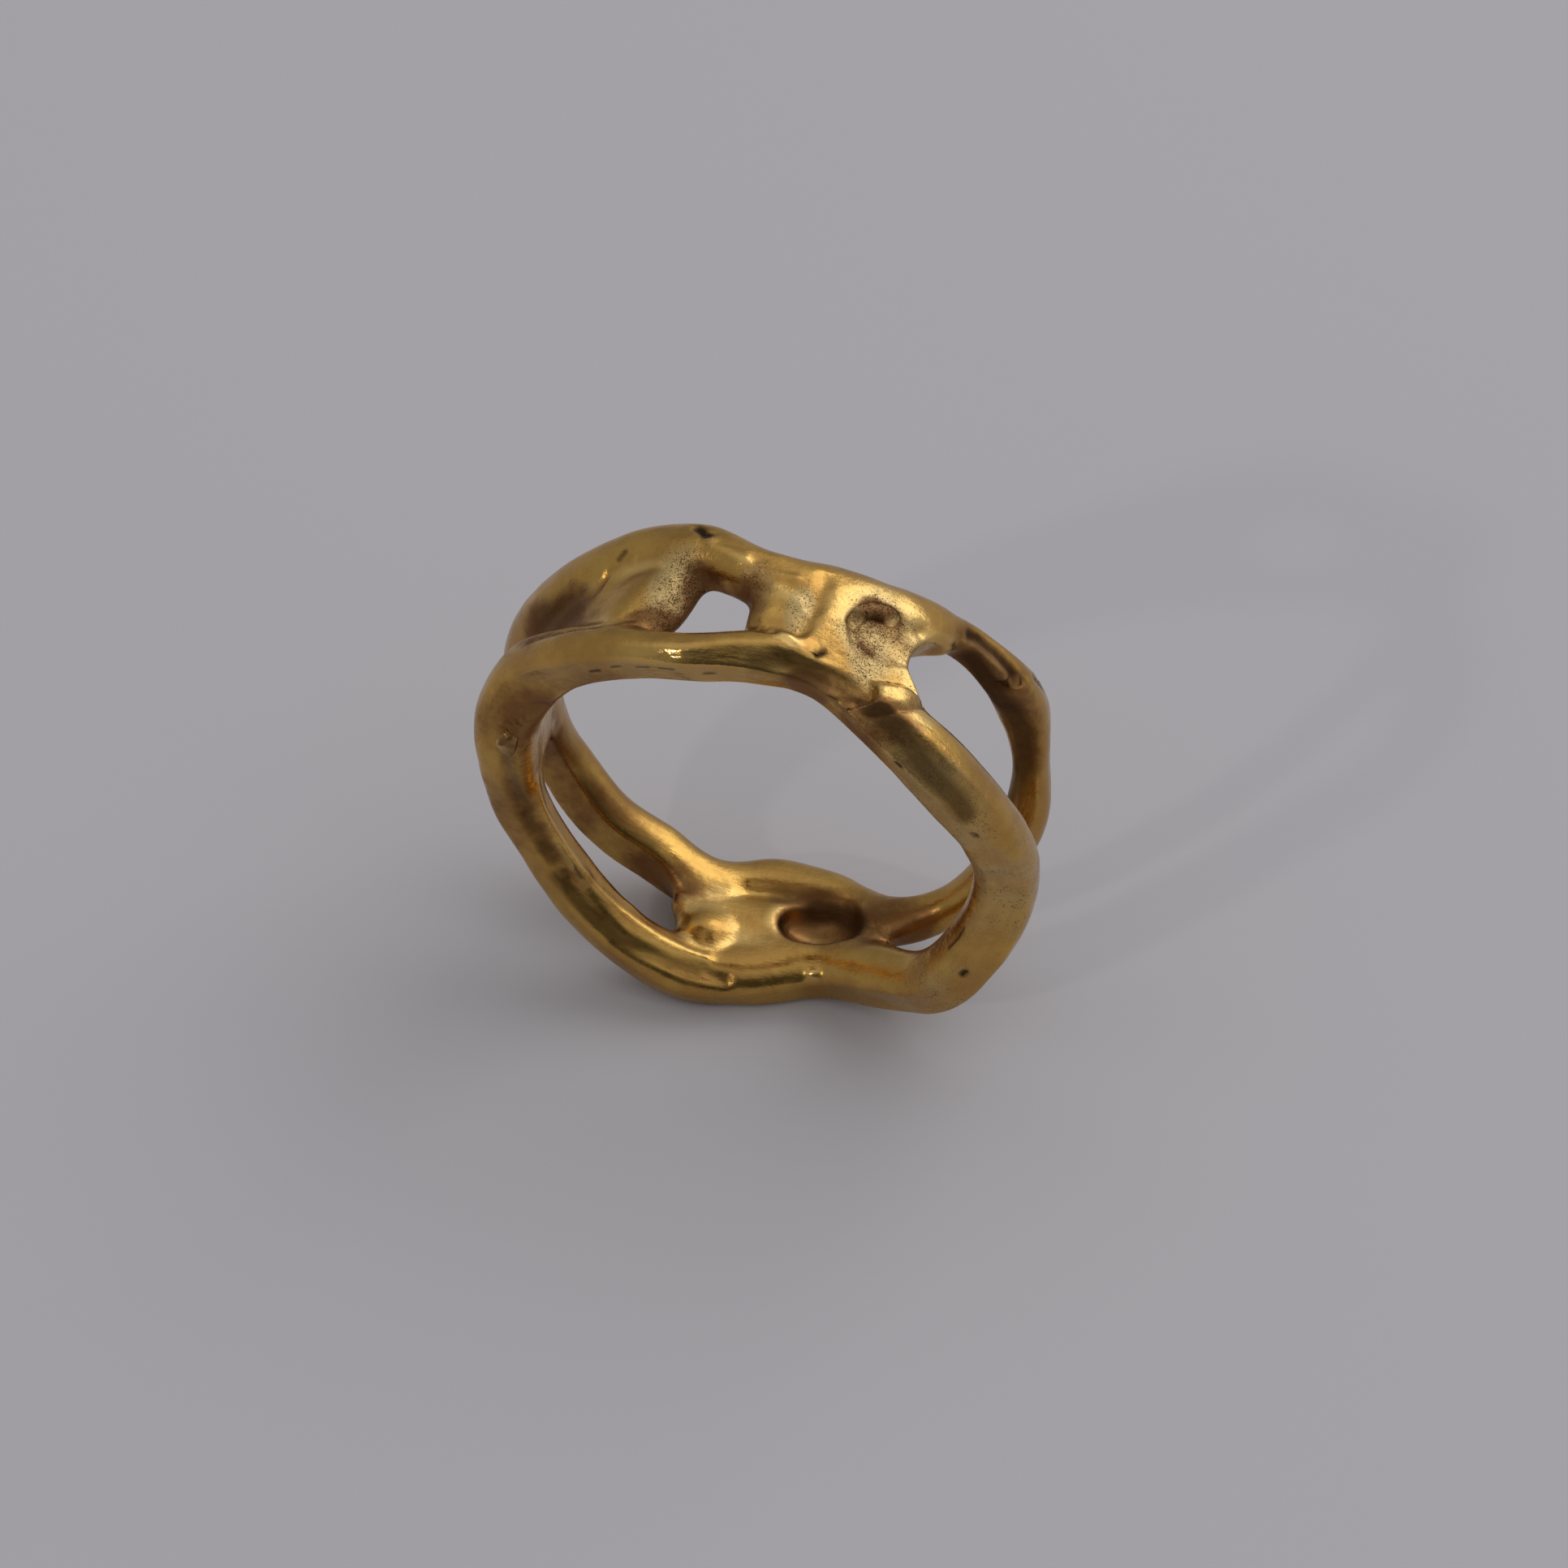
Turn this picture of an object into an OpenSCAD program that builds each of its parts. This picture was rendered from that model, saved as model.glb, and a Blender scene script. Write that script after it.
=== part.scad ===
// Cast openwork finger ring: two rails that part and meet again around the finger hole.
// Millimetres. Z is up as the ring stands, Y runs along the finger hole, the origin is its middle.

/* [Size] */
// diameter of the finger hole between the rails
hole_d = 17.4; // [14:0.1:22]
// how far apart the two rails stand along the finger, as a factor
spread = 1; // [0.8:0.05:1.2]
// rail width along the finger, as a factor
rail_width = 1; // [0.8:0.05:1.2]
// rail thickness away from the finger, as a factor
rail_thickness = 1; // [0.8:0.05:1.2]

/* [Casting] */
// how softly the rails and webs flow into each other
blend = 0.6; // [0.3:0.05:1]
// how softly a hollow sinks into the metal
hollow_blend = 0.3; // [0.1:0.05:0.6]
// rail section: 2 is an ellipse, higher is squarer
squareness = 2.3; // [2:0.1:3]
// height of the worn foot under the hole centre
foot_z = 10.8; // [10.6:0.05:11.6]

/* [Mesh] */
// steps around the ring
steps_around = 128; // [96:4:160]
// step across the band and through its thickness
step_across = 0.43; // [0.36:0.01:0.6]

/* [Hidden] */

hole_r = hole_d / 2;
metal = [0.80, 0.62, 0.28];

// The rails, every 15 degrees from the right side, anticlockwise as seen from the front.
// [middle along the finger, lift off the finger, width, thickness, lean in degrees]
front_rail = [
  [-2.1, 0.00, 2.5, 2.5, 0],
  [-2.9, 0.00, 2.5, 2.5, 0],
  [-3.4, 0.00, 2.6, 2.4, 0],
  [-3.4, 0.00, 2.7, 2.4, 0],
  [-2.8, 0.00, 2.5, 2.3, 0],
  [-1.9, 0.00, 2.2, 2.2, 0],
  [-2.1, 0.05, 1.8, 2.0, 0],
  [-2.3, 0.10, 1.6, 1.9, 0],
  [-1.8, 0.10, 1.8, 2.1, 0],
  [-1.1, 0.10, 2.2, 2.3, 0],
  [-0.5, 0.05, 2.5, 2.6, 0],
  [-0.7, 0.15, 2.5, 2.5, 0],
  [-0.7, 0.00, 2.3, 2.3, 0],
  [-0.5, 0.05, 2.2, 2.2, 0],
  [-0.7, 0.05, 2.1, 2.1, 0],
  [-1.2, 0.10, 2.3, 2.2, 0],
  [-1.8, 0.20, 2.2, 2.2, 0],
  [-2.1, 0.30, 2.3, 2.2, 0],
  [-1.6, 0.15, 2.3, 2.2, 0],
  [-0.8, 0.25, 2.4, 2.3, 0],
  [-1.6, 0.20, 2.5, 2.4, 0],
  [-2.5, 0.45, 2.6, 2.4, 0],
  [-2.3, 0.30, 2.6, 2.4, 0],
  [-2.0, 0.15, 2.5, 2.5, 0]
];
rear_rail = [
  [3.5, 0.50, 1.8, 1.5, 0],
  [3.8, 0.10, 1.8, 2.0, 0],
  [3.2, 0.35, 1.7, 1.7, 0],
  [2.9, 0.25, 1.4, 1.6, 0],
  [1.8, 0.00, 2.2, 2.2, 0],
  [1.5, 0.00, 2.3, 2.2, 0],
  [1.6, 0.10, 2.1, 2.2, 0],
  [2.7, 0.15, 2.2, 2.2, 0],
  [3.0, 0.10, 2.2, 2.2, 0],
  [2.9, 0.10, 2.2, 2.2, 0],
  [3.1, 0.10, 2.2, 2.2, 0],
  [3.4, 0.15, 2.2, 2.2, 0],
  [3.5, 0.10, 2.4, 2.2, 0],
  [3.6, 0.20, 2.2, 2.0, 0],
  [3.7, 0.30, 2.0, 2.2, 0],
  [3.1, 0.25, 2.1, 2.3, 0],
  [2.8, 0.10, 2.2, 2.3, 0],
  [2.3, 0.25, 2.2, 2.2, 0],
  [3.0, 0.15, 2.2, 2.2, 0],
  [2.5, 0.30, 2.2, 2.2, 0],
  [1.3, 0.60, 1.8, 1.8, 0],
  [1.7, 1.10, 1.6, 1.6, 0],
  [2.3, 0.95, 1.8, 1.7, 0],
  [2.9, 0.70, 1.9, 1.8, 0]
];

// Metal that joins the rails: the crown, the thin bridge, the wall behind it, the foot and the left side.
// [angle, along the finger, lift off the finger, length around, width, thickness, turn in degrees]
webs = [
  [70, 0.0, 0.10, 6.0, 4.9, 2.15, 5],
  [60, -0.2, 0.00, 2.2, 3.8, 2.0, 15],
  [86, -0.3, 0.10, 2.1, 4.2, 1.8, 0],
  [58, -1.8, 0.10, 2.4, 2.2, 2.1, 0],
  [56, 1.6, 0.20, 3.2, 3.0, 1.8, 0],
  [117, 0.6, 0.10, 2.5, 5.2, 1.9, 34],
  [126, 1.0, 0.00, 4.2, 4.4, 1.7, 30],
  [138, 1.2, 0.10, 9.6, 4.0, 1.1, 0],
  [274, 0.7, 0.10, 9.0, 4.4, 1.9, 0],
  [257, -0.5, 0.10, 2.0, 2.0, 1.9, 0],
  [178, 1.3, 0.10, 5.8, 4.0, 1.9, 0]
];

// Hollows in the casting: the pocket inside the foot, the dimple on the crown, the scoop below the
// crown and the rounded end of the right window. Same columns.
hollows = [
  [284, 0.6, -1.20, 3.2, 1.9, 2.6, 0],
  [64.5, -0.2, 1.70, 2.6, 2.6, 0.75, 30],
  [75, -3.0, 1.35, 4.6, 1.7, 1.1, -10],
  [45, -0.3, -3.20, 4.1, 4.0, 8.0, 0]
];

// The space that is searched for metal.
rho_0 = hole_r - 0.8;
rho_1 = hole_r + 4.0;
axial_0 = -5.4 * spread;
axial_1 = 5.4 * spread;
n_t = steps_around;
n_r = ceil((rho_1 - rho_0) / step_across);
n_h = ceil((axial_1 - axial_0) / step_across);

// A smooth closed curve through the rows of a table, at an angle in degrees.
function curve(a, b, c, d, t) =
  0.5 * (2 * b + (c - a) * t + (2 * a - 5 * b + 4 * c - d) * t * t + (3 * b - a - 3 * c + d) * t * t * t);

function row_at(table, angle) =
  let (
    n = len(table),
    x = angle * n / 360,
    i = floor(x)
  )
  curve(table[(i + n - 1) % n], table[i % n], table[(i + 1) % n], table[(i + 2) % n], x - i);

// Two shapes joined with a soft fillet of size k, and the soft opposite used for hollows.
function soft_min(a, b, k) =
  let (h = max(k - abs(a - b), 0) / k)
  min(a, b) - h * h * k / 4;

function soft_max(a, b, k) = -soft_min(-a, -b, k);

// A rail section made ready for one angle: [middle, radius, half width, half thickness, cosine, sine].
function section(table, angle) =
  let (r = row_at(table, angle))
  [
    r[0] * spread,
    hole_r + r[1] + r[3] * rail_thickness / 2,
    r[2] * rail_width / 2,
    r[3] * rail_thickness / 2,
    cos(r[4]),
    sin(r[4])
  ];

function rail(s, rho, h) =
  let (
    u = h - s[0],
    v = rho - s[1],
    across = abs(u * s[4] + v * s[5]) / s[2],
    through = abs(v * s[4] - u * s[5]) / s[3]
  )
  (pow(pow(across, squareness) + pow(through, squareness), 1 / squareness) - 1) * min(s[2], s[3]);

// An egg made ready for one angle: [distance around, along, radius, half sizes, cosine, sine].
function egg_at(e, angle) =
  let (
    rad = hole_r + e[2] + e[5] / 2,
    turn = (angle - e[0] + 540) % 360 - 180
  )
  [turn * PI / 180 * rad, e[1] * spread, rad, e[3] / 2, e[4] / 2, e[5] / 2, cos(e[6]), sin(e[6])];

function egg(e, rho, h) =
  let (
    u = h - e[1],
    p = (e[0] * e[6] + u * e[7]) / e[3],
    q = (u * e[6] - e[0] * e[7]) / e[4],
    v = (rho - e[2]) / e[5]
  )
  (sqrt(p * p + q * q + v * v) - 1) * min(e[3], e[4], e[5]);

function join_all(list, rho, h, so_far, i = 0) =
  i == len(list) ? so_far : join_all(list, rho, h, soft_min(so_far, egg(list[i], rho, h), blend), i + 1);

function sink_all(list, rho, h, so_far, i = 0) =
  i == len(list) ? so_far : sink_all(list, rho, h, soft_max(so_far, -egg(list[i], rho, h), hollow_blend), i + 1);

// Below zero is metal, above zero is air.
function metal_at(f, r, joins, sinks, rho, h, foot) =
  soft_max(
    sink_all(sinks, rho, h, join_all(joins, rho, h, soft_min(rail(f, rho, h), rail(r, rho, h), blend))),
    rho * foot - foot_z,
    0.2
  );

// One slice of samples at an angle, stored by radius and then along the finger.
function slice(angle) =
  let (
    f = section(front_rail, angle),
    r = section(rear_rail, angle),
    joins = [for (e = webs) let (g = egg_at(e, angle)) if (abs(g[0]) < max(g[3], g[4]) + 1.5) g],
    sinks = [for (e = hollows) let (g = egg_at(e, angle)) if (abs(g[0]) < max(g[3], g[4]) + 1.0) g],
    foot = -sin(angle)
  )
  [
    for (j = [0 : n_r])
      for (k = [0 : n_h])
        metal_at(f, r, joins, sinks, rho_0 + j * step_across, axial_0 + k * step_across, foot)
  ];

// Where the surface crosses one edge of a cell; the corners are numbered 0 to 7 as angle, radius, along bits.
CORNERS = [[0, 0, 0], [0, 0, 1], [0, 1, 0], [0, 1, 1], [1, 0, 0], [1, 0, 1], [1, 1, 0], [1, 1, 1]];
EDGES = [
  [0, 1], [2, 3], [4, 5], [6, 7],
  [0, 2], [1, 3], [4, 6], [5, 7],
  [0, 4], [1, 5], [2, 6], [3, 7]
];

function crosses(v, e) = (v[e[0]] < 0) != (v[e[1]] < 0);

function cell_values(s0, s1, j, k) =
  let (
    m = n_h + 1,
    a = j * m + k
  )
  [s0[a], s0[a + 1], s0[a + m], s0[a + m + 1], s1[a], s1[a + 1], s1[a + m], s1[a + m + 1]];

function cell_point(v) =
  let (
    hits = [
      for (e = EDGES)
        if (crosses(v, e))
          let (t = v[e[0]] / (v[e[0]] - v[e[1]]))
          CORNERS[e[0]] * (1 - t) + CORNERS[e[1]] * t
    ],
    ones = [for (p = hits) 1]
  )
  (ones * hits) / len(hits);

function place(i, j, k, p) =
  let (
    angle = (i + p[0]) * 360 / n_t,
    rho = rho_0 + (j + p[1]) * step_across
  )
  [rho * cos(angle), axial_0 + (k + p[2]) * step_across, rho * sin(angle)];

module cast_ring() {
  slices = [for (i = [0 : n_t - 1]) slice(i * 360 / n_t)];
  m = n_h + 1;
  cells = n_r * n_h;
  // One point for every cell that the surface runs through, or undef.
  points_in = [
    for (i = [0 : n_t - 1])
      let (
        s0 = slices[i],
        s1 = slices[(i + 1) % n_t]
      )
      for (j = [0 : n_r - 1])
        for (k = [0 : n_h - 1])
          let (
            v = cell_values(s0, s1, j, k),
            low = min(v)
          )
          low < 0 && max(v) >= 0 ? place(i, j, k, cell_point(v)) : undef
  ];
  number = [
    for (c = 0, count = 0; c < len(points_in); count = count + (points_in[c] == undef ? 0 : 1), c = c + 1)
      points_in[c] == undef ? -1 : count
  ];
  points = [for (p = points_in) if (p != undef) p];
  // One four-sided face for every grid edge that the surface crosses.
  quads = [
    for (i = [0 : n_t - 1])
      let (
        back = ((i + n_t - 1) % n_t) * cells,
        here = i * cells,
        s0 = slices[i],
        s1 = slices[(i + 1) % n_t]
      )
      for (j = [1 : n_r - 1])
        for (k = [1 : n_h - 1])
          let (
            a = j * m + k,
            inside = s0[a] < 0,
            c = j * n_h + k
          )
          for (way = [0 : 2])
            let (other = way == 0 ? s1[a] : way == 1 ? s0[a + m] : s0[a + 1])
            if (inside != (other < 0))
              let (
                ring = way == 0
                  ? [here + c, here + c - n_h, here + c - n_h - 1, here + c - 1]
                  : way == 1
                    ? [here + c, here + c - 1, back + c - 1, back + c]
                    : [here + c, back + c, back + c - n_h, here + c - n_h],
                face = [for (q = ring) number[q]]
              )
              inside ? [face[3], face[2], face[1], face[0]] : face
  ];
  color(metal)
    polyhedron(points = points, faces = quads, convexity = 10);
}

cast_ring();
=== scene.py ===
"""Openwork cast finger ring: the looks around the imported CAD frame.

One fine mesh stands for the whole casting. It repeats the rails, webs and hollows of part.scad, adds the
filed flats, grooves and dents of the wax work, and carries the values that the procedural brass reads.
"""

import math

import bpy
import numpy as np
from mathutils import Matrix, Vector


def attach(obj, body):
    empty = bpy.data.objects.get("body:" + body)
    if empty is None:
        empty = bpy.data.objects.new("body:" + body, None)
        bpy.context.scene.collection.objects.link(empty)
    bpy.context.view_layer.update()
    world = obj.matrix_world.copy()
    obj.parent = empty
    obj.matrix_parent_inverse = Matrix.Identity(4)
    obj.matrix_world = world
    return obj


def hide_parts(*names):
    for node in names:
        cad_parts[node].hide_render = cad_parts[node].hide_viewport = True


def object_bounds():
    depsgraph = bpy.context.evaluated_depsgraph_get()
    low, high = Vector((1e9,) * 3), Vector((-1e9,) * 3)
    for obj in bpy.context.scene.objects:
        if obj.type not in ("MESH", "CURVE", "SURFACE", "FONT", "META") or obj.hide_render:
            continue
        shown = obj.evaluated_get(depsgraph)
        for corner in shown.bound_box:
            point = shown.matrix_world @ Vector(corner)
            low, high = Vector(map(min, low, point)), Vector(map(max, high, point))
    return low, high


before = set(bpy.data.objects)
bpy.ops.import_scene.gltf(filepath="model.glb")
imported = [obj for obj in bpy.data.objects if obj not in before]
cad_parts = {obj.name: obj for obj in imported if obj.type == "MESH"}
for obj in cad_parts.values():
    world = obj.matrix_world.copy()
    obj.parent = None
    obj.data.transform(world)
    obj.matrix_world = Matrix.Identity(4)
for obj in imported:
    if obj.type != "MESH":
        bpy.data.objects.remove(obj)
cad_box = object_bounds()

MM = 0.001            # in metres

# ------------------------------------------------ the ring's design, as in part.scad (mm, degrees)
HOLE_R = 8.7          # the finger hole
BLEND = 0.6           # width of the soft joins between rails and webs
HOLLOW_BLEND = 0.3    # the same at the rims of hollows
SQUARENESS = 2.3      # superellipse power of a rail's section: 2 is an ellipse
FOOT_Z = 10.8         # depth of the worn foot below the middle of the hole
FOOT_BLEND = 0.2      # how softly the foot is cut

# Rails every 15 degrees from the right side, anticlockwise as seen from the front:
# middle along the finger, lift off the finger, width, thickness.
FRONT_RAIL = np.array([
    [-2.1, 0.00, 2.5, 2.5], [-2.9, 0.00, 2.5, 2.5], [-3.4, 0.00, 2.6, 2.4],
    [-3.4, 0.00, 2.7, 2.4], [-2.8, 0.00, 2.5, 2.3], [-1.9, 0.00, 2.2, 2.2],
    [-2.1, 0.05, 1.8, 2.0], [-2.3, 0.10, 1.6, 1.9], [-1.8, 0.10, 1.8, 2.1],
    [-1.1, 0.10, 2.2, 2.3], [-0.5, 0.05, 2.5, 2.6], [-0.7, 0.15, 2.5, 2.5],
    [-0.7, 0.00, 2.3, 2.3], [-0.5, 0.05, 2.2, 2.2], [-0.7, 0.05, 2.1, 2.1],
    [-1.2, 0.10, 2.3, 2.2], [-1.8, 0.20, 2.2, 2.2], [-2.1, 0.30, 2.3, 2.2],
    [-1.6, 0.15, 2.3, 2.2], [-0.8, 0.25, 2.4, 2.3], [-1.6, 0.20, 2.5, 2.4],
    [-2.5, 0.45, 2.6, 2.4], [-2.3, 0.30, 2.6, 2.4], [-2.0, 0.15, 2.5, 2.5],
])
REAR_RAIL = np.array([
    [3.5, 0.50, 1.8, 1.5], [3.8, 0.10, 1.8, 2.0], [3.2, 0.35, 1.7, 1.7],
    [2.9, 0.25, 1.4, 1.6], [1.8, 0.00, 2.2, 2.2], [1.5, 0.00, 2.3, 2.2],
    [1.6, 0.10, 2.1, 2.2], [2.7, 0.15, 2.2, 2.2], [3.0, 0.10, 2.2, 2.2],
    [2.9, 0.10, 2.2, 2.2], [3.1, 0.10, 2.2, 2.2], [3.4, 0.15, 2.2, 2.2],
    [3.5, 0.10, 2.4, 2.2], [3.6, 0.20, 2.2, 2.0], [3.7, 0.30, 2.0, 2.2],
    [3.1, 0.25, 2.1, 2.3], [2.8, 0.10, 2.2, 2.3], [2.3, 0.25, 2.2, 2.2],
    [3.0, 0.15, 2.2, 2.2], [2.5, 0.30, 2.2, 2.2], [1.3, 0.60, 1.8, 1.8],
    [1.7, 1.10, 1.6, 1.6], [2.3, 0.95, 1.8, 1.7], [2.9, 0.70, 1.9, 1.8],
])
# Metal that joins the rails, and hollows sunk in it:
# angle, along the finger, lift, length around, width, thickness, turn.
WEBS = [
    (70, 0.0, 0.10, 6.0, 4.9, 2.15, 5), (60, -0.2, 0.00, 2.2, 3.8, 2.0, 15),
    (86, -0.3, 0.10, 2.1, 4.2, 1.8, 0), (58, -1.8, 0.10, 2.4, 2.2, 2.1, 0),
    (56, 1.6, 0.20, 3.2, 3.0, 1.8, 0),
    (117, 0.6, 0.10, 2.5, 5.2, 1.9, 34), (126, 1.0, 0.00, 4.2, 4.4, 1.7, 30),
    (138, 1.2, 0.10, 9.6, 4.0, 1.1, 0),
    (274, 0.7, 0.10, 9.0, 4.4, 1.9, 0), (257, -0.5, 0.10, 2.0, 2.0, 1.9, 0),
    (178, 1.3, 0.10, 5.8, 4.0, 1.9, 0),
]
HOLLOWS = [
    (284, 0.6, -1.20, 3.2, 1.9, 2.6, 0), (64.5, -0.2, 1.70, 2.6, 2.6, 0.75, 30),
    (75, -3.0, 1.35, 4.6, 1.7, 1.1, -10), (45, -0.3, -3.20, 4.1, 4.0, 8.0, 0),
]

# ------------------------------------------------ hand work that only the looks have (mm, degrees)
FILED_EDGE = 0.07     # roundness of the edges of filed flats
WORN_FOOT_EDGE = 0.1  # the same round the foot

# Flats filed along the front rail, every 15 degrees: [turn towards the finger, depth shaved].
# A negative depth leaves the rail round there.
FRONT_FLAT = np.array([
    [-10, 0.20], [-5, 0.20], [10, 0.18], [25, 0.20], [25, 0.18], [15, 0.22],
    [15, 0.22], [15, 0.20], [12, 0.22], [8, 0.28], [0, 0.32], [-5, 0.26],
    [-10, 0.16], [-15, 0.10], [-15, 0.05], [-20, 0.05], [-20, 0.05], [-20, 0.05],
    [-10, 0.05], [-5, 0.08], [-5, 0.20], [-8, 0.30], [-8, 0.30], [-8, 0.26],
])
OUTER_FLAT = np.array([
    [-40, -0.30], [-40, 0.02], [-39, 0.24], [-39, 0.28], [-39, 0.30], [-46, 0.36],
    [-44, 0.20], [-40, 0.06], [-40, -0.05], [-40, -0.10], [-40, 0.04], [-40, 0.08],
    [-30, 0.05], [-30, 0.00], [-30, -0.30], [-40, -0.30], [-40, -0.30], [-40, -0.30],
    [-40, -0.30], [-40, -0.30], [-40, -0.30], [-40, -0.30], [-40, -0.30], [-40, -0.30],
])
# Flats along the side of the rear rail that faces the front: the same two numbers.
REAR_FLAT = np.array([
    [0, 0.10], [0, 0.12], [0, 0.10], [10, 0.05], [20, -0.30], [0, -0.30],
    [0, -0.30], [0, -0.30], [0, -0.30], [0, -0.30], [0, -0.30], [0, -0.30],
    [0, 0.05], [0, 0.16], [-5, 0.18], [-5, 0.22], [0, 0.22], [0, 0.05],
    [0, -0.30], [0, -0.30], [0, -0.30], [0, -0.10], [0, 0.05], [0, 0.10],
])

# Flats filed across the casting: angle, along the finger and radius of the middle,
# the way it faces as an angle and a tilt along the finger, how far it reaches.
FLATS = [
    (67.5, -0.2, 10.70, 67, -10, 3.4), (78, -3.05, 9.95, 78, -72, 1.6),
    (87, 0.4, 10.74, 90, -8, 1.9), (72, -2.3, 10.45, 74, -33, 1.5),
]
FLAT_FADE = 0.35      # how fast a flat's cut lifts off towards its reach
FLAT_ROUND = 0.1      # width of the soft start of that lift
FLAT_MARGIN = 0.3     # beyond its reach a flat is left out

# Marks of the wax work, as lines of points near the surface: angle, along the finger, radius.
# Each row: height (ridge +, groove -), half width, points.
LINES = [
    # the slit on the crest
    (-0.34, 0.13, [(106.4, 3.15, 11.0), (105.2, 2.95, 11.05), (104.2, 2.75, 11.05),
                   (102.6, 2.65, 11.0)]),
    # the crown: its folds, pits and edges
    (-0.12, 0.32, [(78.5, 1.3, 11.0), (79, 0.2, 10.8), (80, -1.0, 10.8)]),
    (-0.34, 0.22, [(71, 0.1, 10.7), (70, 0.7, 10.6), (68, 1.0, 10.6), (65, 1.1, 10.6), (63.5, 1.0, 10.6)]),
    (-0.16, 0.20, [(71.0, -0.1, 10.7), (69.5, -0.8, 10.7), (67, -1.3, 10.7)]),
    (0.09, 0.22, [(88, 0.6, 10.9), (83, 0.2, 10.8), (79, -0.5, 10.9)]),
    (-0.14, 0.30, [(92, -0.9, 10.3), (86, -1.1, 10.6), (81, -1.2, 10.8)]),
    (0.08, 0.20, [(84, -1.5, 10.8), (80, -1.8, 10.9), (76, -1.9, 10.9)]),
    (0.08, 0.18, [(71, -3.2, 10.1), (70, -3.1, 10.5), (69, -2.8, 10.8)]),
    (0.08, 0.22, [(102, 2.2, 11.0), (96, 1.7, 11.0), (91, 1.2, 11.0), (84, 1.1, 11.0)]),
    # the crescent channel on the rear rail, its lower fork and its lip
    (-0.17, 0.27, [(44, 2.8, 10.4), (40, 2.98, 10.45), (36, 3.0, 10.5), (32, 2.95, 10.5),
                   (28.4, 2.85, 10.55)]),
    (-0.18, 0.20, [(27, 3.1, 10.6), (29, 2.7, 10.4), (31, 2.3, 10.0)]),
    (0.08, 0.18, [(45, 2.3, 10.3), (42, 2.45, 10.4), (37, 2.48, 10.4), (32, 2.47, 10.5)]),
    # cracks below the channel
    (-0.10, 0.10, [(24, 3.7, 10.8), (20, 3.9, 10.8), (18, 4.1, 10.7)]),
    (-0.08, 0.08, [(23, 4.0, 10.7), (19, 4.3, 10.6)]),
    # the front rail's left side: grooves on its front face and a ridge on its inner edge
    (-0.22, 0.24, [(166, -1.8, 9.9), (173, -1.8, 9.8), (180, -1.7, 9.6), (189, -1.5, 9.4),
                   (203, -1.5, 9.3), (214, -1.6, 9.2)]),
    (-0.16, 0.34, [(214, -1.7, 9.2), (224, -2.1, 9.3), (236, -2.5, 9.4), (250, -2.6, 9.3),
                   (264, -2.6, 9.3)]),
    (0.12, 0.24, [(186, -0.9, 8.8), (205, -1.0, 8.8), (219, -1.4, 8.8), (232, -1.6, 8.9),
                  (245, -1.9, 8.9), (258, -2.0, 8.9)]),
    (-0.18, 0.26, [(169, -1.8, 9.8), (163, -1.7, 9.9), (157, -1.6, 9.6), (152, -1.5, 9.2)]),
    (0.09, 0.14, [(172, -1.8, 9.6), (169, -1.7, 9.4), (166, -1.5, 9.1)]),
    # the foot, seen through the finger hole
    (-0.16, 0.42, [(264, 1.8, 8.9), (278, 1.8, 8.9), (291, 1.3, 9.0)]),
    (0.04, 0.40, [(252, -0.6, 9.0), (262, -0.3, 8.9), (272, -0.6, 8.9)]),
    # the crease where the wall meets the front rail, and folds of the wall
    (-0.14, 0.13, [(142, -0.5, 11.1), (133, -0.8, 11.0), (123, -1.0, 10.8), (116, -0.6, 10.4)]),
    (0.10, 0.22, [(126, 1.6, 10.3), (123, 1.9, 10.4), (120, 2.2, 10.6)]),
    (-0.10, 0.20, [(131, 1.3, 10.1), (128, 1.7, 10.3), (126, 2.1, 10.5)]),
]
MARK_REACH = 2.6      # half widths beyond which a mark is left out of the sum

# Dents and bumps: height, angle, along the finger, radius, half length around, half width.
SPOTS = [
    (-0.10, 60, -0.6, 10.8, 0.35, 0.30),
    (-0.12, 57, 1.0, 10.8, 0.30, 0.30), (-0.24, 76, -1.7, 10.9, 0.20, 0.15),
    (-0.14, 80, -2.6, 10.7, 0.65, 0.30), (-0.12, 70, -2.5, 10.9, 0.50, 0.30),
    (0.20, 102.4, 2.5, 11.0, 0.18, 0.16), (0.14, 219, -1.4, 8.8, 0.35, 0.28),
    (0.06, 236, -1.1, 9.0, 0.45, 0.35), (-0.14, 52, -4.5, 9.8, 0.13, 0.09),
    (-0.16, 26, -4.4, 10.0, 0.15, 0.10), (-0.14, 127, -2.5, 9.8, 0.22, 0.14),
    (-0.07, 298, 0.4, 9.3, 0.25, 0.20),
    (-0.12, 328, -3.4, 10.2, 0.22, 0.15), (0.10, 285, -1.8, 9.3, 0.25, 0.20),
    (-0.25, 285, 0.1, 9.0, 1.00, 0.50), (0.10, 278, 3.0, 8.8, 1.60, 0.80),
]
# Slow wobble of the whole surface: height, size of its features, seed.
WOBBLE = [(0.055, 2.4, 3), (0.020, 0.9, 4)]

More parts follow.
